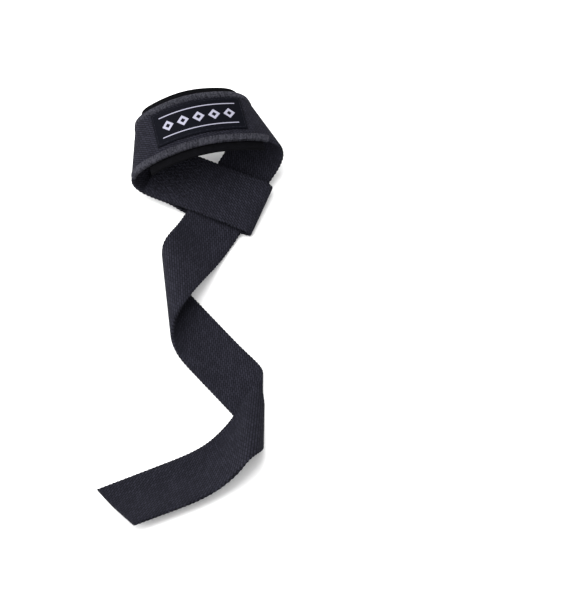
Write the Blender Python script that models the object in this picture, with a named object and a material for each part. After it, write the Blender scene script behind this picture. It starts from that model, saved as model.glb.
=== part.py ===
"""Weightlifting strap: one band of heavy cotton webbing lying on a table.

The webbing's end is folded back over itself and sewn down, which leaves a flat
eye. From the eye the band rolls up and over as the wrist loop, passes through
the eye, and turns over twice on its way to the free end. A padded lining sits
inside the wrist loop and a woven patch outside it.
"""
import math

import bpy
import numpy as np

for old in list(bpy.data.objects):
    bpy.data.objects.remove(old, do_unlink=True)

# Driving sizes, in metres.
STRAP_WIDTH = 0.038
STRAP_THICK = 0.0025
SEAM_LENGTH = 0.031        # stretch of the folded end that is sewn down
EYE_LENGTH = 0.0405        # inside length of the eye
WRIST_LENGTH = 0.198       # webbing of the wrist loop, from the folded end to the eye
TAIL_LENGTH = 0.306        # webbing from the eye to the free end
END_SLANT_DEG = 14.5       # how far off square the free end is cut
EYE_HEADING_DEG = -22.6    # which way the eye points on the table
EYE_TILT_DEG = 6.6         # the eye's far edge lies a little higher
EYE_DIP_DEG = 1.3          # and its folded end a little lower
EYE_PINCH = 0.0018         # how far the eye crowds the edge of the webbing in it
PAD_LENGTH = 0.082
PAD_OVERHANG = 0.006       # lining that shows past each edge of the webbing
PAD_THICK = 0.0045
PATCH_LENGTH = 0.060
PATCH_WIDTH = 0.025
PATCH_THICK = 0.0008
FIT_GAP = 0.0003           # between pieces that are sewn face to face

FOLD_OPENING = 0.39        # spacing of the fold's two layers, as a share of the fold's length
LAYER_SPACING = 3.1        # spacing of the layers' middles in the eye, in thicknesses
SEAM_SPACING = 1.16        # and where they are sewn together

# How the webbing lies: each row is one bend of the wrist loop or of the tail.
# at, over: the bend's middle and its length, as shares of that stretch
# turn: degrees, towards the webbing's outer face where positive
# skew: degrees between the crease and a square crease
# sway: degrees that the webbing turns sideways, in its own plane
WRIST_BENDS = [
    ("roll up at the left", 0.092, 0.277, -152, -21.6, 0),
    ("arch over the wrist", 0.348, 0.457, -51, 0.5, 0),
    ("roll down at the right", 0.644, 0.373, -163.4, 27.0, 0),
]
TAIL_BENDS = [
    ("flatten after the eye", 0.061, 0.159, -32, 8.2, -4),
    ("first turn over", 0.213, 0.270, 203, 54.5, 0),
    ("lie flat between the turns", 0.400, 0.250, 0, 51.0, 0),
    ("second turn over, rising", 0.544, 0.180, 104, 43.0, 0),
    ("second turn over, falling", 0.641, 0.150, 145, 54.5, 0),
    ("land on the table", 0.756, 0.304, -39, 30.0, -27),
]
# How far the tail sinks onto the table under its own weight.
# at: share of the tail; sink: metres
TAIL_SINK = [
    (0.00, 0.0000),
    (0.25, 0.0000),
    (0.60, 0.0027),
    (0.85, 0.0082),
    (1.00, 0.0112),
]
TABLE_SOFTNESS = 0.002     # height over which the webbing eases onto the table
CROWD_AT = 0.81            # where the eye's fold crowds the webbing, as a share of the wrist loop
CROWD_OVER = 0.35
PAD_AT = 0.374             # middle of the lining and of the patch, likewise
PATCH_OFFSET = -0.001      # the patch sits this far off the webbing's middle line

WALK_STEP = 0.0005         # step of the walk along the webbing
STATION_STEP = 0.0036      # longest step between cross-sections
STATION_TURN_DEG = 12.0    # most bending between cross-sections
SKEW_BLEND = 0.006         # length over which one bend's skew eases into the next
END_SHARE = 0.25           # share of the tail over which its sections turn to the cut
PAD_EDGE_SHARE = 0.45      # thickness of the lining's rim, as a share of its middle

# The folded end: an upper layer, the fold, and a lower layer that dips away
# from the seam to open the eye.
layer_space = LAYER_SPACING * STRAP_THICK
seam_space = SEAM_SPACING * STRAP_THICK
fold_length = layer_space / FOLD_OPENING
fold_at = SEAM_LENGTH + EYE_LENGTH + 0.25 * fold_length
dip_run = 0.27 * EYE_LENGTH
dip_angle = math.degrees(math.asin((layer_space - seam_space) / dip_run))
dip_at = 2 * fold_at - SEAM_LENGTH + 0.07 * EYE_LENGTH
wrist_from = 2 * fold_at
tail_from = wrist_from + WRIST_LENGTH
strap_length = tail_from + TAIL_LENGTH
anchor_at = 0.5 * SEAM_LENGTH + 0.5 * EYE_LENGTH - 0.002
pad_at = wrist_from + PAD_AT * WRIST_LENGTH
crowd_at = wrist_from + CROWD_AT * WRIST_LENGTH


def all_bends():
    """Middle, length, turn, skew and sway of every bend, in metres and radians."""
    rows = [
        (fold_at, fold_length, -180, 0, 0),
        (dip_at, 0.8 * dip_run, -dip_angle, 0, 0),
        (dip_at + dip_run, 0.8 * dip_run, dip_angle, 0, 0),
    ]
    for start, length, bends in (
        (wrist_from, WRIST_LENGTH, WRIST_BENDS),
        (tail_from, TAIL_LENGTH, TAIL_BENDS),
    ):
        for _name, at, over, turn, skew, sway in bends:
            rows.append((start + at * length, over * length, turn, skew, sway))
    return [(at, over, *map(math.radians, angles)) for at, over, *angles in rows]


def turned(vector, axis, angle):
    """The vector, turned about a unit axis."""
    along = axis * (axis @ vector) * (1 - math.cos(angle))
    return vector * math.cos(angle) + np.cross(axis, vector) * math.sin(angle) + along


def walk_webbing():
    """Centre, direction, outer normal and crease slope along the webbing's middle line."""
    place = np.arange(0, strap_length + STRAP_WIDTH, WALK_STEP)
    bend = np.zeros_like(place)
    sway = np.zeros_like(place)
    rows = all_bends()
    for at, over, turn, skew, side in rows:
        x = (place - at) / over
        hump = np.where(np.abs(x) < 0.5, (1 + np.cos(2 * math.pi * x)) / over, 0)
        bend += hump * turn * math.cos(skew)
        sway += hump * side
    slope = np.interp(place, [row[0] for row in rows], [math.tan(row[3]) for row in rows])
    reach = int(SKEW_BLEND / WALK_STEP)
    kernel = np.hanning(2 * reach + 1)
    slope = np.convolve(np.pad(slope, reach, mode="edge"), kernel / kernel.sum(), mode="valid")

    heading, tilt = math.radians(EYE_HEADING_DEG), math.radians(EYE_TILT_DEG)
    dip = math.radians(EYE_DIP_DEG)
    reach_to_fold = 0.5 * SEAM_LENGTH + EYE_LENGTH
    rest = 0.5 * STRAP_THICK - 0.5 * TABLE_SOFTNESS
    rise = layer_space * math.cos(tilt) + 0.5 * STRAP_WIDTH * math.sin(tilt)
    start = np.array((0.0, 0.0, rest + rise + (reach_to_fold - anchor_at / 2) * math.sin(dip)))
    start_up = np.array((0.0, -math.sin(tilt), math.cos(tilt)))
    start_along = np.array((math.cos(heading), math.sin(heading), -math.sin(dip)))
    start_along -= (start_along @ start_up) * start_up
    start_along /= np.linalg.norm(start_along)

    count = len(place)
    centre, along, normal = np.zeros((3, count, 3))
    first = int(round(anchor_at / WALK_STEP))
    for way in (1, -1):
        c, t, n = start, start_along, start_up
        i = first
        while True:
            centre[i], along[i], normal[i] = c, t, n
            j = i + way
            if not 0 <= j < count:
                break
            b, e, g = (bend[i] + bend[j]) / 2, (slope[i] + slope[j]) / 2, (sway[i] + sway[j]) / 2
            spin = b * e * t + b * np.cross(t, n) - g * n
            rate = np.linalg.norm(spin)
            half = c + t * way * WALK_STEP / 2
            if rate > 0:
                t, n = (turned(u, spin / rate, rate * way * WALK_STEP) for u in (t, n))
            c = half + t * way * WALK_STEP / 2
            i = j
    sink_at, sink = zip(*TAIL_SINK)
    centre[:, 2] -= np.interp(place, [tail_from + s * TAIL_LENGTH for s in sink_at], sink)
    return place, bend, centre, along, normal, slope


PLACE, BEND, CENTRE, ALONG, NORMAL, SLOPE = walk_webbing()


def settle(height):
    """Heights of the middle surface, eased onto the table."""
    over = height - 0.5 * STRAP_THICK
    soft = (over + TABLE_SOFTNESS) ** 2 / (4 * TABLE_SOFTNESS)
    eased = np.where(over > TABLE_SOFTNESS, over, np.where(over < -TABLE_SOFTNESS, 0, soft))
    return eased + 0.5 * STRAP_THICK


def crease_base(at, across):
    """Where the creases through flat places (at, across) meet the middle line."""
    base = np.empty_like(at)
    for column in range(at.shape[1]):
        flat = PLACE + across[:, column].mean() * SLOPE
        base[:, column] = np.interp(at[:, column], flat, PLACE)
    return base


def middle_surface(base, across):
    """Points of the webbing's middle surface, on the creases through the places in base."""

    def pick(values):
        return np.stack([np.interp(base, PLACE, values[:, k]) for k in range(3)], axis=-1)

    t, n = pick(ALONG), pick(NORMAL)
    crease = np.cross(t, n) + np.interp(base, PLACE, SLOPE)[..., None] * t
    points = pick(CENTRE) + across[..., None] * crease
    points[..., 2] = settle(points[..., 2])
    return points


def outer_normals(points):
    """Unit normals of a grid of points, towards the webbing's outer face."""
    n = np.cross(np.gradient(points, axis=1), np.gradient(points, axis=0))
    return n / np.linalg.norm(n, axis=-1, keepdims=True)


def stations(start, end):
    """Places along the webbing, closer together where it bends."""
    bends = np.abs(BEND) * np.sqrt(1 + SLOPE ** 2)
    density = 1 / STATION_STEP + bends / math.radians(STATION_TURN_DEG)
    total = np.cumsum(density) * WALK_STEP
    low, high = np.interp((start, end), PLACE, total)
    count = int(math.ceil(high - low)) + 1
    return np.interp(np.linspace(low, high, count), total, PLACE)


def slab(name, material, base, across, low, high):
    """A closed sheet between two offsets from the middle surface."""
    points = middle_surface(base, across)
    up = outer_normals(points)
    top = points + up * high[..., None]
    bottom = points + up * low[..., None]
    rows, columns = base.shape
    size = rows * columns
    verts = np.concatenate([top.reshape(-1, 3), bottom.reshape(-1, 3)])
    faces = []
    for i in range(rows - 1):
        for j in range(columns - 1):
            a = i * columns + j
            b, c, d = a + 1, a + columns + 1, a + columns
            faces.append((a, b, c, d))
            faces.append((size + a, size + d, size + c, size + b))
    ring = [i * columns for i in range(rows)]
    ring += [(rows - 1) * columns + j for j in range(1, columns)]
    ring += [i * columns + columns - 1 for i in range(rows - 2, -1, -1)]
    ring += list(range(columns - 2, 0, -1))
    for a, b in zip(ring, ring[1:] + ring[:1]):
        faces.append((a, b, size + b, size + a))
    mesh = bpy.data.meshes.new(name)
    mesh.from_pydata(verts.tolist(), [], faces)
    mesh.materials.append(material)
    mesh.validate()
    mesh.update()
    mesh.shade_smooth()
    mesh.set_sharp_from_angle(angle=math.radians(50))
    piece = bpy.data.objects.new(name, mesh)
    bpy.context.scene.collection.objects.link(piece)
    return piece


def finish(name, colour, roughness):
    """A matt cloth material."""
    material = bpy.data.materials.new(name)
    material.use_nodes = True
    shader = material.node_tree.nodes["Principled BSDF"]
    shader.inputs["Base Color"].default_value = (*colour, 1)
    shader.inputs["Roughness"].default_value = roughness
    shader.inputs["Metallic"].default_value = 0
    return material


def make_webbing():
    """The whole band, from its folded end to the slanted free end."""
    at = stations(0, strap_length)
    share = np.linspace(-0.5, 0.5, 5)
    across = np.outer(np.ones_like(at), share * STRAP_WIDTH)
    x = (at - crowd_at) / (CROWD_OVER * WRIST_LENGTH)
    crowd = np.where(np.abs(x) < 0.5, (1 + np.cos(2 * math.pi * x)) / 2, 0)
    across -= EYE_PINCH * np.outer(crowd, np.clip(2 * share, 0, 1))
    # Cross-sections follow the creases, and near the free end they turn to its cut.
    ramp = np.clip((at - strap_length) / (END_SHARE * TAIL_LENGTH) + 1, 0, 1)
    end_slope = -math.tan(math.radians(END_SLANT_DEG))
    slope = (1 - ramp) * np.interp(at, PLACE, SLOPE) + ramp * end_slope
    base = crease_base(at[:, None] + slope[:, None] * across, across)
    half = np.full(across.shape, 0.5 * STRAP_THICK)
    material = finish("charcoal_cotton", (0.038, 0.040, 0.052), 0.95)
    return slab("strap_webbing", material, base, across, -half, half)


def make_pad():
    """The lining on the inner face, wider than the webbing, with a thinner rim."""
    at = stations(pad_at - 0.5 * PAD_LENGTH, pad_at + 0.5 * PAD_LENGTH)
    width = STRAP_WIDTH + 2 * PAD_OVERHANG
    share = np.array((-0.5, -0.46, -0.25, 0.0, 0.25, 0.46, 0.5))
    across = np.outer(np.ones_like(at), share * width)
    edge = np.minimum(0.5 * width - np.abs(across), 0.5 * PAD_LENGTH - np.abs(at - pad_at)[:, None])
    full = PAD_EDGE_SHARE + (1 - PAD_EDGE_SHARE) * np.clip(edge / PAD_THICK, 0, 1)
    face = -0.5 * STRAP_THICK - FIT_GAP
    top = np.full(across.shape, face)
    material = finish("black_neoprene", (0.007, 0.007, 0.009), 0.85)
    base = crease_base(at[:, None] + 0 * across, across)
    return slab("wrist_pad", material, base, across, top - PAD_THICK * full, top)


def make_patch():
    """The woven patch on the outer face."""
    at = stations(pad_at - 0.5 * PATCH_LENGTH, pad_at + 0.5 * PATCH_LENGTH)
    share = np.linspace(-0.5, 0.5, 4)
    across = PATCH_OFFSET + np.outer(np.ones_like(at), share * PATCH_WIDTH)
    face = 0.5 * STRAP_THICK + FIT_GAP
    low = np.full(across.shape, face)
    material = finish("black_woven_satin", (0.010, 0.010, 0.016), 0.6)
    base = crease_base(at[:, None] + 0 * across, across)
    return slab("label_patch", material, base, across, low, low + PATCH_THICK)


pieces = [make_webbing(), make_pad(), make_patch()]

# The origin is the middle of the whole strap's footprint, on the table.
corners = np.array([v.co for piece in pieces for v in piece.data.vertices])
middle = (corners.min(axis=0) + corners.max(axis=0)) / 2
for piece in pieces:
    for vertex in piece.data.vertices:
        vertex.co.x -= middle[0]
        vertex.co.y -= middle[1]
    piece.data.update()
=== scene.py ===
"""The looks of a weightlifting strap that lies on a pale table."""

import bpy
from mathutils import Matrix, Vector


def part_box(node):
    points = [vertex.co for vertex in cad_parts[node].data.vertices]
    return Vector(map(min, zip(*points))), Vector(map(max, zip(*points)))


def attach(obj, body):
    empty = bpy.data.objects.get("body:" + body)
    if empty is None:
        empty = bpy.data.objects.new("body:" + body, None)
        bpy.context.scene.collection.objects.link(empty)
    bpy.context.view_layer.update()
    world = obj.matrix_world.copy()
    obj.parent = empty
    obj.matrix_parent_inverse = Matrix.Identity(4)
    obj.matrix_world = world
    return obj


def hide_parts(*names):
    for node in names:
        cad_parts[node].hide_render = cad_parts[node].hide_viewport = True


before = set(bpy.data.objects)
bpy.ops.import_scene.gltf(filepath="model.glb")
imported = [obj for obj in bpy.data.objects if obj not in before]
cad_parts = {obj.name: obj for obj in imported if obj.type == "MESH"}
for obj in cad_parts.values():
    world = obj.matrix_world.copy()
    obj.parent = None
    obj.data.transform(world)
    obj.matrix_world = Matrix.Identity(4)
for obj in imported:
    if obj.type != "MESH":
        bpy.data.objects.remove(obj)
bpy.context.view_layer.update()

import math

import bpy
import numpy as np

# The strap itself: one band of heavy charcoal cotton webbing, woven in a fine twill with a
# firm selvage along both edges. One end is folded back and sewn into a flat eye, the rest is
# curled over as the wrist loop, drawn through the eye and turned over twice on the table.
STRAP_WIDTH = 0.038
STRAP_THICK = 0.0025
SEAM_LENGTH = 0.031
EYE_LENGTH = 0.0405
WRIST_LENGTH = 0.198
TAIL_LENGTH = 0.306
END_SLANT_DEG = 14.5
EYE_HEADING_DEG = -22.6
EYE_TILT_DEG = 6.6
EYE_DIP_DEG = 1.3
EYE_PINCH = 0.0018
FOLD_OPENING = 0.39        # spacing of the fold's layers, as a share of the fold's length
LAYER_SPACING = 3.1        # spacing of the layers' middles in the eye, in thicknesses
SEAM_SPACING = 1.16        # and where they are sewn together
# name, middle and length as shares of the stretch, turn, skew of the crease and sway in degrees
WRIST_BENDS = [
    ("roll up at the left", 0.092, 0.277, -152, -21.6, 0),
    ("arch over the wrist", 0.348, 0.457, -51, 0.5, 0),
    ("roll down at the right", 0.644, 0.373, -163.4, 27.0, 0),
]
TAIL_BENDS = [
    ("flatten after the eye", 0.061, 0.159, -32, 8.2, -4),
    ("first turn over", 0.213, 0.270, 203, 54.5, 0),
    ("lie flat between the turns", 0.400, 0.250, 0, 51.0, 0),
    ("second turn over, rising", 0.544, 0.180, 104, 43.0, 0),
    ("second turn over, falling", 0.641, 0.150, 145, 54.5, 0),
    ("land on the table", 0.756, 0.304, -39, 30.0, -27),
]
# share of the tail, how far it sinks onto the table in metres
TAIL_SINK = [(0.00, 0.0000), (0.25, 0.0000), (0.60, 0.0027), (0.85, 0.0082), (1.00, 0.0112)]
TABLE_SOFTNESS = 0.002
CROWD_AT = 0.81
CROWD_OVER = 0.35
WALK_STEP = 0.0005
SKEW_BLEND = 0.006
END_SHARE = 0.25
STATION_STEP = 0.00068     # fine enough for the loops of the selvage
STATION_TURN_DEG = 5.0
FACE_COLUMNS = 17          # columns on the flat of the webbing
EDGE_TURNS_DEG = (18, 38, 58, 75, 88)   # columns round each edge
SELVAGE_PITCH = 0.0027     # a weft loop stands out at this pitch, drawn coarser than the real one
SELVAGE_DEPTH = 0.00042
SELVAGE_BAND = 0.0016

layer_space = LAYER_SPACING * STRAP_THICK
seam_space = SEAM_SPACING * STRAP_THICK
fold_length = layer_space / FOLD_OPENING
fold_at = SEAM_LENGTH + EYE_LENGTH + 0.25 * fold_length
dip_run = 0.27 * EYE_LENGTH
dip_angle = math.degrees(math.asin((layer_space - seam_space) / dip_run))
dip_at = 2 * fold_at - SEAM_LENGTH + 0.07 * EYE_LENGTH
wrist_from = 2 * fold_at
tail_from = wrist_from + WRIST_LENGTH
strap_length = tail_from + TAIL_LENGTH
anchor_at = 0.5 * SEAM_LENGTH + 0.5 * EYE_LENGTH - 0.002
crowd_at = wrist_from + CROWD_AT * WRIST_LENGTH


def all_bends():
    """Middle, length, turn, skew and sway of every bend, in metres and radians."""
    rows = [
        (fold_at, fold_length, -180, 0, 0),
        (dip_at, 0.8 * dip_run, -dip_angle, 0, 0),
        (dip_at + dip_run, 0.8 * dip_run, dip_angle, 0, 0),
    ]
    for start, length, bends in (
        (wrist_from, WRIST_LENGTH, WRIST_BENDS),
        (tail_from, TAIL_LENGTH, TAIL_BENDS),
    ):
        for _name, at, over, turn, skew, sway in bends:
            rows.append((start + at * length, over * length, turn, skew, sway))
    return [(at, over, *map(math.radians, angles)) for at, over, *angles in rows]


def turned(vector, axis, angle):
    """The vector, turned about a unit axis."""
    along = axis * (axis @ vector) * (1 - math.cos(angle))
    return vector * math.cos(angle) + np.cross(axis, vector) * math.sin(angle) + along


def walk_webbing():
    """Centre, direction, outer normal and crease slope along the webbing's middle line."""
    place = np.arange(0, strap_length + STRAP_WIDTH, WALK_STEP)
    bend = np.zeros_like(place)
    sway = np.zeros_like(place)
    rows = all_bends()
    for at, over, turn, skew, side in rows:
        x = (place - at) / over
        hump = np.where(np.abs(x) < 0.5, (1 + np.cos(2 * math.pi * x)) / over, 0)
        bend += hump * turn * math.cos(skew)
        sway += hump * side
    slope = np.interp(place, [row[0] for row in rows], [math.tan(row[3]) for row in rows])
    reach = int(SKEW_BLEND / WALK_STEP)
    kernel = np.hanning(2 * reach + 1)
    slope = np.convolve(np.pad(slope, reach, mode="edge"), kernel / kernel.sum(), mode="valid")

    heading, tilt = math.radians(EYE_HEADING_DEG), math.radians(EYE_TILT_DEG)
    dip = math.radians(EYE_DIP_DEG)
    reach_to_fold = 0.5 * SEAM_LENGTH + EYE_LENGTH
    rest = 0.5 * STRAP_THICK - 0.5 * TABLE_SOFTNESS
    rise = layer_space * math.cos(tilt) + 0.5 * STRAP_WIDTH * math.sin(tilt)
    start = np.array((0.0, 0.0, rest + rise + (reach_to_fold - anchor_at / 2) * math.sin(dip)))
    start_up = np.array((0.0, -math.sin(tilt), math.cos(tilt)))
    start_along = np.array((math.cos(heading), math.sin(heading), -math.sin(dip)))
    start_along -= (start_along @ start_up) * start_up
    start_along /= np.linalg.norm(start_along)

    count = len(place)
    centre, along, normal = np.zeros((3, count, 3))
    first = int(round(anchor_at / WALK_STEP))
    for way in (1, -1):
        c, t, n = start, start_along, start_up
        i = first
        while True:
            centre[i], along[i], normal[i] = c, t, n
            j = i + way
            if not 0 <= j < count:
                break
            b, e, g = (bend[i] + bend[j]) / 2, (slope[i] + slope[j]) / 2, (sway[i] + sway[j]) / 2
            spin = b * e * t + b * np.cross(t, n) - g * n
            rate = np.linalg.norm(spin)
            half = c + t * way * WALK_STEP / 2
            if rate > 0:
                t, n = (turned(u, spin / rate, rate * way * WALK_STEP) for u in (t, n))
            c = half + t * way * WALK_STEP / 2
            i = j
    sink_at, sink = zip(*TAIL_SINK)
    centre[:, 2] -= np.interp(place, [tail_from + s * TAIL_LENGTH for s in sink_at], sink)
    return place, bend, centre, along, normal, slope


PLACE, BEND, CENTRE, ALONG, NORMAL, SLOPE = walk_webbing()


def read(values, base):
    """A vector quantity of the walk, at the places in base."""
    return np.stack([np.interp(base, PLACE, values[:, k]) for k in range(3)], axis=-1)


def crease_base(at, across):
    """Where the creases through flat places (at, across) meet the middle line."""
    base = np.empty_like(at)
    for column in range(at.shape[1]):
        flat = PLACE + across[:, column].mean() * SLOPE
        base[:, column] = np.interp(at[:, column], flat, PLACE)
    return base


def middle_surface(base, across):
    """Points of the webbing's middle surface, on the creases through the places in base."""
    t, n = read(ALONG, base), read(NORMAL, base)
    crease = np.cross(t, n) + np.interp(base, PLACE, SLOPE)[..., None] * t
    points = read(CENTRE, base) + across[..., None] * crease
    over = points[..., 2] - 0.5 * STRAP_THICK
    soft = (over + TABLE_SOFTNESS) ** 2 / (4 * TABLE_SOFTNESS)
    eased = np.where(over > TABLE_SOFTNESS, over, np.where(over < -TABLE_SOFTNESS, 0, soft))
    points[..., 2] = eased + 0.5 * STRAP_THICK
    return points


def stations(start, end, step=STATION_STEP):
    """Places along the webbing, closer together where it bends."""
    bends = np.abs(BEND) * np.sqrt(1 + SLOPE ** 2)
    density = 1 / step + bends / math.radians(STATION_TURN_DEG)
    total = np.cumsum(density) * WALK_STEP
    low, high = np.interp((start, end), PLACE, total)
    count = int(math.ceil(high - low)) + 1
    return np.interp(np.linspace(low, high, count), total, PLACE)


def cloth_piece(name, points, faces, material, flat):
    """A mesh object that keeps each point's place on the flat cloth, in millimetres."""
    mesh = bpy.data.meshes.new(name)
    mesh.from_pydata(points.tolist(), [], faces)
    mesh.materials.append(material)
    kept = mesh.attributes.new("flat", "FLOAT_VECTOR", "POINT")
    kept.data.foreach_set("vector", (flat * 1000).astype(np.float32).ravel())
    mesh.shade_smooth()
    piece = bpy.data.objects.new(name, mesh)
    bpy.context.scene.collection.objects.link(piece)
    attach(piece, "root")
    return piece


def layered(name, material, at, base, across, low, high):
    """A closed layer of cloth between two offsets from the webbing's middle surface."""
    points = middle_surface(base, across)
    up = np.cross(np.gradient(points, axis=1), np.gradient(points, axis=0))
    up /= np.linalg.norm(up, axis=-1, keepdims=True)
    rows, columns = base.shape
    size = rows * columns
    verts, flat = [], []
    for offset in (high, low):
        verts.append((points + up * offset[..., None]).reshape(-1, 3))
        flat.append(np.stack([at, across, offset], axis=-1).reshape(-1, 3))
    i, j = np.meshgrid(np.arange(rows - 1), np.arange(columns - 1), indexing="ij")
    a = (i * columns + j).ravel()
    top = np.stack([a, a + 1, a + columns + 1, a + columns], axis=1)
    faces = np.concatenate([top, top[:, ::-1] + size]).tolist()
    ring = [i * columns for i in range(rows)]
    ring += [(rows - 1) * columns + j for j in range(1, columns)]
    ring += [i * columns + columns - 1 for i in range(rows - 2, -1, -1)]
    ring += list(range(columns - 2, 0, -1))
    faces += [(a, b, size + b, size + a) for a, b in zip(ring, ring[1:] + ring[:1])]
    verts = np.concatenate(verts)
    return cloth_piece(name, verts - origin, faces, material, np.concatenate(flat))


def columns_with_round_edges(width, round_off, count):
    """Places across a layer, and how much of its thickness is left at each."""
    turns = np.radians(EDGE_TURNS_DEG)
    inner = np.linspace(-0.5, 0.5, count) * (width - 2 * round_off)
    outer = 0.5 * width - round_off * (1 - np.sin(turns))
    across = np.concatenate([-outer[::-1], inner, outer])
    share = np.concatenate([np.cos(turns[::-1]), np.ones(count), np.cos(turns)])
    return across, share


def linear(colour):
    """An sRGB hex colour as linear red, green, blue and alpha."""
    parts = [int(colour[i:i + 2], 16) / 255 for i in (0, 2, 4)]
    return (*[c / 12.92 if c <= 0.04045 else ((c + 0.055) / 1.055) ** 2.4 for c in parts], 1.0)


def add(tree, kind, inputs=(), **settings):
    """A node with its settings, its sockets given values or linked to other nodes' outputs."""
    node = tree.nodes.new(kind)
    for name, value in settings.items():
        setattr(node, name, value)
    for key, value in dict(inputs).items():
        if isinstance(value, bpy.types.NodeSocket):
            tree.links.new(value, node.inputs[key])
        else:
            node.inputs[key].default_value = value
    return node.outputs[0] if node.outputs else node


def new_material(name):
    """An empty material, its node tree and its shader."""
    material = bpy.data.materials.new(name)
    material.use_nodes = True
    tree = material.node_tree
    return material, tree, tree.nodes["Principled BSDF"]


# Cotton, dyed in the yarn and woven in a steep twill: matt and soft, nearly black, with a faint
# violet cast and slanting ribs. The ribs are 1.5 mm apart, a little coarser than the real ones.
RIB_MM = 1.4
FLOAT_MM = 3.2
TWILL_DEG = 35.0
cotton, tree, shader = new_material("charcoal_cotton_twill_woven")
flat = add(tree, "ShaderNodeAttribute", attribute_name="flat").node.outputs["Vector"]
on_ribs = add(tree, "ShaderNodeMapping",
              {"Vector": flat, "Rotation": (0, 0, -math.radians(TWILL_DEG))})
yarns = add(tree, "ShaderNodeTexBrick",
            {"Vector": on_ribs, "Color1": linear("1c1c23"), "Color2": linear("24242c"),
             "Mortar": linear("0a0a0d"), "Scale": 1.0, "Mortar Size": 0.34,
             "Mortar Smooth": 1.0, "Bias": -0.2, "Brick Width": FLOAT_MM, "Row Height": RIB_MM},
            offset=0.5, offset_frequency=2, squash=1.0)
gaps = yarns.node.outputs["Fac"]
fibres = add(tree, "ShaderNodeTexNoise", {"Vector": flat, "Scale": 1.3, "Detail": 3.0})
heather = add(tree, "ShaderNodeMapRange", {0: fibres, 1: 0.3, 2: 0.7, 3: 0.80, 4: 1.25})
shade = add(tree, "ShaderNodeTexNoise", {"Vector": flat, "Scale": 0.045, "Detail": 2.0})
wear = add(tree, "ShaderNodeMapRange", {0: shade, 1: 0.3, 2: 0.7, 3: 0.92, 4: 1.08})
tone = add(tree, "ShaderNodeMath", {0: heather, 1: wear}, operation="MULTIPLY")
colour = add(tree, "ShaderNodeVectorMath", {0: yarns, "Scale": tone}, operation="SCALE")
relief = add(tree, "ShaderNodeMath", {0: fibres, 1: 0.35, 2: 0.0}, operation="MULTIPLY_ADD")
height = add(tree, "ShaderNodeMath", {0: relief, 1: gaps}, operation="SUBTRACT")
bump = add(tree, "ShaderNodeBump", {"Height": height, "Strength": 0.9, "Distance": 0.0003})
tree.links.new(colour, shader.inputs["Base Color"])
tree.links.new(bump, shader.inputs["Normal"])
shader.inputs["Roughness"].default_value = 0.9
shader.inputs["Specular IOR Level"].default_value = 0.04

at = stations(0, strap_length)
places, thick_share = columns_with_round_edges(STRAP_WIDTH, 0.45 * STRAP_THICK, FACE_COLUMNS)
across = np.outer(np.ones_like(at), places)
x = (at - crowd_at) / (CROWD_OVER * WRIST_LENGTH)
crowd = np.where(np.abs(x) < 0.5, (1 + np.cos(2 * math.pi * x)) / 2, 0)
across -= EYE_PINCH * np.outer(crowd, np.clip(2 * places / STRAP_WIDTH, 0, 1))
ramp = np.clip((at - strap_length) / (END_SHARE * TAIL_LENGTH) + 1, 0, 1)
end_slope = -math.tan(math.radians(END_SLANT_DEG))
slope = (1 - ramp) * np.interp(at, PLACE, SLOPE) + ramp * end_slope
flat_at = at[:, None] + slope[:, None] * across
base = crease_base(flat_at, across)
edge = np.clip(1 - (0.5 * STRAP_WIDTH - np.abs(places)) / SELVAGE_BAND, 0, 1)
loops = 0.5 - 0.5 * np.cos(2 * math.pi * flat_at / SELVAGE_PITCH)
worn = across - np.sign(places) * edge * loops * SELVAGE_DEPTH
half = 0.5 * STRAP_THICK * thick_share * (1 - 0.10 * edge * loops)

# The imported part's origin is the middle of its footprint, so the webbing is moved there.
spread = middle_surface(base, across)[..., :2].reshape(-1, 2)
low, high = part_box("strap_webbing")
origin = np.append((spread.min(axis=0) + spread.max(axis=0)) / 2 - (low + high).xy / 2, 0.0)
webbing = layered("webbing", cotton, flat_at, base, worn, -half, half)
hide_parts("strap_webbing")

# The folded end is held down by close rows of zigzag lockstitch across the band, in a heavy
# bonded nylon thread a shade off the webbing, sunk into the cloth at every needle hole.
THREAD_RADIUS = 0.00024
THREAD_SIDES = 6
SEAM_MARGIN = 0.0022
SEAM_ROWS = 5
SEAM_PITCH = 0.0013
SEAM_INSET = 0.0018
rng = np.random.default_rng(7)


def on_webbing(at, across, off):
    """Points at flat places on the webbing, lifted off its middle surface."""
    base = np.array(at, float)
    for _ in range(12):
        base = at - across * np.interp(base, PLACE, SLOPE)
    normal = read(NORMAL, base)
    return middle_surface(base, across) + normal * off[..., None] - origin


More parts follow.
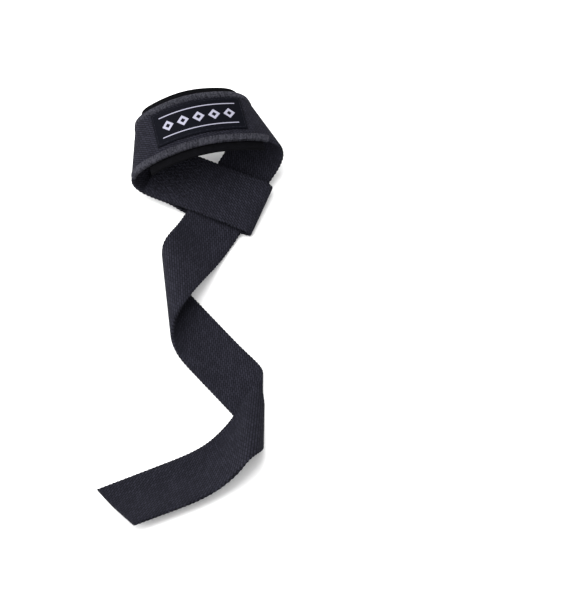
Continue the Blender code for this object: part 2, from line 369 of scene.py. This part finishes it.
def stitches(name, material, runs, radius=THREAD_RADIUS):
    """Short lengths of thread, joined in one mesh. A run is points of flat place and height."""
    points, flat, faces = [], [], []
    turn = np.arange(THREAD_SIDES) * 2 * math.pi / THREAD_SIDES
    for run in runs:
        line = on_webbing(*np.array(run, float).T)
        ahead = np.gradient(line, axis=0)
        ahead /= np.linalg.norm(ahead, axis=1, keepdims=True)
        up = read(NORMAL, np.array(run)[:, 0])
        side = np.cross(ahead, up)
        side /= np.linalg.norm(side, axis=1, keepdims=True)
        up = np.cross(side, ahead)
        first = sum(len(p) for p in points)
        ring = side[:, None] * np.cos(turn)[:, None] + up[:, None] * np.sin(turn)[:, None]
        points.append((line[:, None] + radius * ring).reshape(-1, 3))
        tint = rng.random()
        place = np.repeat(np.array(run), THREAD_SIDES, axis=0)
        place[:, 2] = tint
        flat.append(place)
        count = len(line)
        for i in range(count - 1):
            for j in range(THREAD_SIDES):
                k = (j + 1) % THREAD_SIDES
                a, b = first + i * THREAD_SIDES, first + (i + 1) * THREAD_SIDES
                faces.append((a + j, b + j, b + k, a + k))
        faces.append([first + j for j in range(THREAD_SIDES)])
        faces.append([first + (count - 1) * THREAD_SIDES + j for j in range(THREAD_SIDES)][::-1])
    return cloth_piece(name, np.concatenate(points), faces, material, np.concatenate(flat))


def arched(start, end, sunk, top, steps=4):
    """One stitch: a run from needle hole to needle hole that rises between them."""
    share = np.linspace(0, 1, steps + 1)
    return [
        (start[0] + s * (end[0] - start[0]), start[1] + s * (end[1] - start[1]),
         sunk + (top - sunk) * math.sin(math.pi * s) ** 0.5)
        for s in share
    ]


def thread_material(name, dark, light):
    """Spun thread: matt, with its tint changing from stitch to stitch."""
    material, tree, shader = new_material(name)
    flat = add(tree, "ShaderNodeAttribute", attribute_name="flat").node.outputs["Vector"]
    tint = add(tree, "ShaderNodeSeparateXYZ", {0: flat}).node.outputs[2]
    share = add(tree, "ShaderNodeMath", {0: tint, 1: 0.001}, operation="MULTIPLY")
    plies = add(tree, "ShaderNodeTexNoise", {"Vector": flat, "Scale": 1.1, "Detail": 2.0})
    flecks = add(tree, "ShaderNodeMapRange", {0: plies, 1: 0.36, 2: 0.64, 3: -0.15, 4: 0.75})
    fac = add(tree, "ShaderNodeMath", {0: share, 1: 0.4, 2: flecks},
              operation="MULTIPLY_ADD", use_clamp=True)
    colour = add(tree, "ShaderNodeMix",
                 {"Factor": fac, "A": linear(dark), "B": linear(light)}, data_type="RGBA")
    tree.links.new(colour.node.outputs["Result"], shader.inputs["Base Color"])
    shader.inputs["Roughness"].default_value = 0.8
    shader.inputs["Specular IOR Level"].default_value = 0.05
    return material


# Bonded nylon, twisted from three plies: a low lustre in charcoal with lighter flecks.
nylon = thread_material("charcoal_nylon_thread_twisted", "0e0e12", "2d2d36")
seam_runs = []
row_pitch = (SEAM_LENGTH - 2 * SEAM_MARGIN) / SEAM_ROWS
for row in range(SEAM_ROWS):
    middle = SEAM_MARGIN + (row + 0.5) * row_pitch
    swing = 0.5 * row_pitch
    steps = int((STRAP_WIDTH - 2 * SEAM_INSET) / SEAM_PITCH)
    holes = [
        (middle + swing * (-1) ** k, -0.5 * STRAP_WIDTH + SEAM_INSET + k * SEAM_PITCH)
        for k in range(steps + 1)
    ]
    for start, end in zip(holes, holes[1:]):
        seam_runs.append(arched(start, end, 0.5 * STRAP_THICK - 0.0001, 0.5 * STRAP_THICK + 0.0002))
seam_thread = stitches("seam_thread", nylon, seam_runs)

# The lining: a strip of foam rubber faced with nylon jersey, a little wider than the webbing
# and sewn under it along both edges, where the thread pulls it thin.
PAD_LENGTH = 0.082
PAD_OVERHANG = 0.006
PAD_THICK = 0.0045
PAD_EDGE_SHARE = 0.45
PAD_AT = 0.374
FIT_GAP = 0.0003
PAD_COLUMNS = 31
pad_at = wrist_from + PAD_AT * WRIST_LENGTH

# Neoprene under jersey: a deep, even black that hardly shines, with a fine knitted grain.
# The loops are 0.9 mm wide, coarser than the real 0.5 mm so that they show.
KNIT_MM = 0.9
neoprene, tree, shader = new_material("black_neoprene_jersey_faced")
flat = add(tree, "ShaderNodeAttribute", attribute_name="flat").node.outputs["Vector"]
knit = add(tree, "ShaderNodeTexBrick",
           {"Vector": flat, "Color1": linear("060608"), "Color2": linear("09090c"),
            "Mortar": linear("030304"), "Scale": 1.0, "Mortar Size": 0.14,
            "Mortar Smooth": 1.0, "Brick Width": KNIT_MM, "Row Height": 0.6 * KNIT_MM},
           offset=0.5, offset_frequency=2)
foam = add(tree, "ShaderNodeTexNoise", {"Vector": flat, "Scale": 0.35, "Detail": 4.0})
fade = add(tree, "ShaderNodeMapRange", {0: foam, 1: 0.3, 2: 0.7, 3: 0.8, 4: 1.35})
colour = add(tree, "ShaderNodeVectorMath", {0: knit, "Scale": fade}, operation="SCALE")
sunk = add(tree, "ShaderNodeMath", {0: foam, 1: knit.node.outputs["Fac"]}, operation="SUBTRACT")
bump = add(tree, "ShaderNodeBump", {"Height": sunk, "Strength": 0.6, "Distance": 0.00015})
tree.links.new(colour, shader.inputs["Base Color"])
tree.links.new(bump, shader.inputs["Normal"])
shader.inputs["Roughness"].default_value = 0.85
shader.inputs["Specular IOR Level"].default_value = 0.03

pad_width = STRAP_WIDTH + 2 * PAD_OVERHANG
at = stations(pad_at - 0.5 * PAD_LENGTH, pad_at + 0.5 * PAD_LENGTH, 0.0009)
places, round_share = columns_with_round_edges(pad_width, 0.5 * PAD_EDGE_SHARE * PAD_THICK, PAD_COLUMNS)
across = np.outer(np.ones_like(at), places)
flat_at = at[:, None] + 0 * across
to_end = 0.5 * PAD_LENGTH - np.abs(flat_at - pad_at)
rim = np.minimum(0.5 * pad_width - np.abs(across), to_end)
full = PAD_EDGE_SHARE + (1 - PAD_EDGE_SHARE) * np.sin(0.5 * math.pi * np.clip(rim / PAD_THICK, 0, 1))
face = -0.5 * STRAP_THICK - FIT_GAP
rim_depth = 0.5 * PAD_EDGE_SHARE * PAD_THICK
end_round = np.sqrt(np.clip(1 - (1 - np.clip(to_end / rim_depth, 0.02, 1)) ** 2, 0, 1))
pinch = rim_depth * (1 - round_share * end_round)
pad = layered("wrist_lining", neoprene, flat_at, crease_base(flat_at, across), across,
              face - PAD_THICK * full + pinch, face - pinch)
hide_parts("wrist_pad")

# Overlock stitching binds the webbing's two long edges to the lining: close loops of a spun
# two-tone grey thread that run in from the edge and wrap round it.
BIND_FROM = -0.056
BIND_TO = 0.044
BIND_WIDTH = 0.0042
BIND_PITCH = 0.0006
BIND_RADIUS = 0.00036
binding_thread = thread_material("grey_melange_polyester_thread_spun", "1a1a1f", "3a3a41")
bind_runs = []
top = 0.5 * STRAP_THICK
wall = 0.5 * STRAP_WIDTH
for edge_side in (-1, 1):
    for k in range(int((BIND_TO - BIND_FROM) / BIND_PITCH)):
        place = pad_at + BIND_FROM + k * BIND_PITCH
        reach, lean = rng.uniform(-0.00012, 0.00012), rng.uniform(-0.0004, 0.0004)
        run = [
            (place + 1.6 * BIND_PITCH + lean, wall - BIND_WIDTH + reach, top - 0.0003),
            (place + 1.4 * BIND_PITCH + lean, wall - BIND_WIDTH + reach + 0.0006, top + 0.00022),
            (place + 0.8 * BIND_PITCH + 0.5 * lean, wall - 0.5 * BIND_WIDTH, top + 0.00030),
            (place + 0.3 * BIND_PITCH, wall - 0.0009, top + 0.00026),
            (place + 0.1 * BIND_PITCH, wall + 0.0001, top - 0.00030),
            (place, wall + 0.0003, 0.0),
            (place - 0.1 * BIND_PITCH, wall + 0.0001, -top + 0.0002),
        ]
        bind_runs.append([(u, edge_side * v, w) for u, v, w in run])
edge_binding = stitches("edge_binding", binding_thread, bind_runs, BIND_RADIUS)

# The label: a strip of damask, woven in black satin with its small pattern in off-white, cut
# to length and sewn flat on the outer face of the wrist loop.
PATCH_LENGTH = 0.060
PATCH_WIDTH = 0.025
PATCH_THICK = 0.0008
PATCH_OFFSET = -0.001
PATCH_COLUMNS = 21
# Polyester damask: smooth and a little glossy, its black ground finely ribbed by the weft and
# its light figure standing a thread higher. The weft is 0.45 mm apart so that it shows.
WEFT_MM = 0.45
DIAMOND_PITCH_MM = 10.0
DIAMOND_HALF_MM = 3.9
DIAMOND_HOLE_MM = 1.7
LINE_AT_MM = 7.6
LINE_HALF_MM = 0.34
FIGURE_HALF_MM = 25.0
damask, tree, shader = new_material("black_polyester_damask_satin")
flat = add(tree, "ShaderNodeAttribute", attribute_name="flat").node.outputs["Vector"]
centred = add(tree, "ShaderNodeVectorMath",
              {0: flat, 1: (pad_at * 1000, PATCH_OFFSET * 1000, 0)}, operation="SUBTRACT")
parts = add(tree, "ShaderNodeSeparateXYZ", {0: centred}).node
near_pitch = add(tree, "ShaderNodeMath", {0: parts.outputs[0], 1: DIAMOND_PITCH_MM / 2},
                 operation="PINGPONG")
from_middle = add(tree, "ShaderNodeMath", {0: parts.outputs[1]}, operation="ABSOLUTE")
reach = add(tree, "ShaderNodeMath", {0: near_pitch, 1: from_middle}, operation="ADD")
inside = add(tree, "ShaderNodeMath", {0: reach, 1: DIAMOND_HALF_MM}, operation="LESS_THAN")
hole = add(tree, "ShaderNodeMath", {0: reach, 1: DIAMOND_HOLE_MM}, operation="GREATER_THAN")
diamonds = add(tree, "ShaderNodeMath", {0: inside, 1: hole}, operation="MULTIPLY")
lines = add(tree, "ShaderNodeMath", {0: from_middle, 1: LINE_AT_MM, 2: LINE_HALF_MM},
            operation="COMPARE")
either = add(tree, "ShaderNodeMath", {0: diamonds, 1: lines}, operation="MAXIMUM")
lengthwise = add(tree, "ShaderNodeMath", {0: parts.outputs[0]}, operation="ABSOLUTE")
within = add(tree, "ShaderNodeMath", {0: lengthwise, 1: FIGURE_HALF_MM}, operation="LESS_THAN")
figure = add(tree, "ShaderNodeMath", {0: either, 1: within}, operation="MULTIPLY")
weft_turn = add(tree, "ShaderNodeMath", {0: parts.outputs[1], 1: 2 * math.pi / WEFT_MM},
                operation="MULTIPLY")
weft = add(tree, "ShaderNodeMath", {0: weft_turn}, operation="SINE")
slub = add(tree, "ShaderNodeTexNoise", {"Vector": flat, "Scale": 1.4, "Detail": 3.0})
ribbed = add(tree, "ShaderNodeMath", {0: weft, 1: 0.10, 2: 0.85}, operation="MULTIPLY_ADD")
varied = add(tree, "ShaderNodeMath", {0: slub, 1: 0.30, 2: ribbed}, operation="MULTIPLY_ADD")
inked = add(tree, "ShaderNodeMix",
            {"Factor": figure, "A": linear("06070d"), "B": linear("8c8b99")}, data_type="RGBA")
colour = add(tree, "ShaderNodeVectorMath",
             {0: inked.node.outputs["Result"], "Scale": varied}, operation="SCALE")
raised = add(tree, "ShaderNodeMath", {0: weft, 1: 0.35, 2: figure}, operation="MULTIPLY_ADD")
bump = add(tree, "ShaderNodeBump", {"Height": raised, "Strength": 0.4, "Distance": 0.0001})
tree.links.new(colour, shader.inputs["Base Color"])
tree.links.new(bump, shader.inputs["Normal"])
shader.inputs["Roughness"].default_value = 0.6
shader.inputs["Specular IOR Level"].default_value = 0.03

at = stations(pad_at - 0.5 * PATCH_LENGTH, pad_at + 0.5 * PATCH_LENGTH, 0.0008)
places, round_share = columns_with_round_edges(PATCH_WIDTH, 0.5 * PATCH_THICK, PATCH_COLUMNS)
across = PATCH_OFFSET + np.outer(np.ones_like(at), places)
flat_at = at[:, None] + 0 * across
face = 0.5 * STRAP_THICK + FIT_GAP
pinch = 0.5 * PATCH_THICK * (1 - np.outer(np.ones_like(at), round_share))
patch = layered("label", damask, flat_at, crease_base(flat_at, across), across,
                face + pinch, face + PATCH_THICK - pinch)
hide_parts("label_patch")

# One row of black lockstitch holds the label, a little way in from its edges.
LABEL_INSET = 0.0013
LABEL_STITCH = 0.0024
LABEL_THREAD = 0.00017
sewing = thread_material("black_polyester_thread_spun", "0c0c11", "23232b")
long_half, short_half = 0.5 * PATCH_LENGTH - LABEL_INSET, 0.5 * PATCH_WIDTH - LABEL_INSET
corner_places = [(-long_half, -short_half), (long_half, -short_half),
                 (long_half, short_half), (-long_half, short_half)]
label_top = face + PATCH_THICK
label_runs = []
for (u0, v0), (u1, v1) in zip(corner_places, corner_places[1:] + corner_places[:1]):
    steps = round(math.hypot(u1 - u0, v1 - v0) / LABEL_STITCH)
    share = np.linspace(0, 1, steps + 1)
    holes = [(pad_at + u0 + s * (u1 - u0), PATCH_OFFSET + v0 + s * (v1 - v0)) for s in share]
    for start, end in zip(holes, holes[1:]):
        label_runs.append(arched(start, end, label_top - 0.00025, label_top + 0.00008))
label_thread = stitches("label_thread", sewing, label_runs, LABEL_THREAD)

# The table and the light: a plain white board under soft boxes, seen from above and in front.
CAMERA_ELEVATION_DEG = 60.0
CAMERA_DISTANCE = 2.8
PIXELS_PER_METRE = 1550.0
PHOTO_SIZE = (577, 597)
EYE_PIXEL = (193.4, 304.2)       # where the point of the table below would show in the photo
eye_foot = np.array((-0.0056, -0.0822, 0.0)) - origin
table_mesh = bpy.data.meshes.new("table")
reach = 6.0
table_mesh.from_pydata([(-reach, -reach, 0), (reach, -reach, 0), (reach, reach, 0), (-reach, reach, 0)],
                       [], [(0, 1, 2, 3)])
table = bpy.data.objects.new("table", table_mesh)
bpy.context.scene.collection.objects.link(table)
board, tree, shader = new_material("white_laminate_matt")
shader.inputs["Base Color"].default_value = linear("f4f4f4")
shader.inputs["Roughness"].default_value = 0.9
shader.inputs["Specular IOR Level"].default_value = 0.1
table_mesh.materials.append(board)

world = bpy.data.worlds.new("studio")
world.use_nodes = True
world.node_tree.nodes["Background"].inputs["Color"].default_value = (1, 1, 1, 1)
world.node_tree.nodes["Background"].inputs["Strength"].default_value = 1.15
bpy.context.scene.world = world
bpy.context.scene.view_settings.view_transform = "Standard"


def soft_box(name, place, aim, size, power):
    """A square soft light that faces a point."""
    light = bpy.data.lights.new(name, "AREA")
    light.shape = "SQUARE"
    light.size = size
    light.energy = power
    lamp = bpy.data.objects.new(name, light)
    lamp.location = place
    towards = Vector(aim) - Vector(place)
    lamp.rotation_euler = towards.to_track_quat("-Z", "Y").to_euler()
    bpy.context.scene.collection.objects.link(lamp)


soft_box("box_above", (-0.3, 0.3, 1.5), (0, 0, 0), 1.2, 24)
soft_box("box_left", (-1.3, -0.1, 0.6), (0, 0, 0.02), 1.5, 28)

elevation = math.radians(CAMERA_ELEVATION_DEG)
right_of = (0.5 * PHOTO_SIZE[0] - EYE_PIXEL[0]) / PIXELS_PER_METRE
above = (EYE_PIXEL[1] - 0.5 * PHOTO_SIZE[1]) / PIXELS_PER_METRE
look_at = eye_foot + np.array((right_of, above / math.sin(elevation), 0))
away = np.array((0, -math.cos(elevation), math.sin(elevation)))
lens = bpy.data.cameras.new("camera")
lens.sensor_width = 36.0
lens.lens = lens.sensor_width * PIXELS_PER_METRE * CAMERA_DISTANCE / max(PHOTO_SIZE)
camera = bpy.data.objects.new("camera", lens)
camera.location = look_at + CAMERA_DISTANCE * away
camera.rotation_euler = (math.radians(90) - elevation, 0, 0)
bpy.context.scene.collection.objects.link(camera)
bpy.context.scene.camera = camera
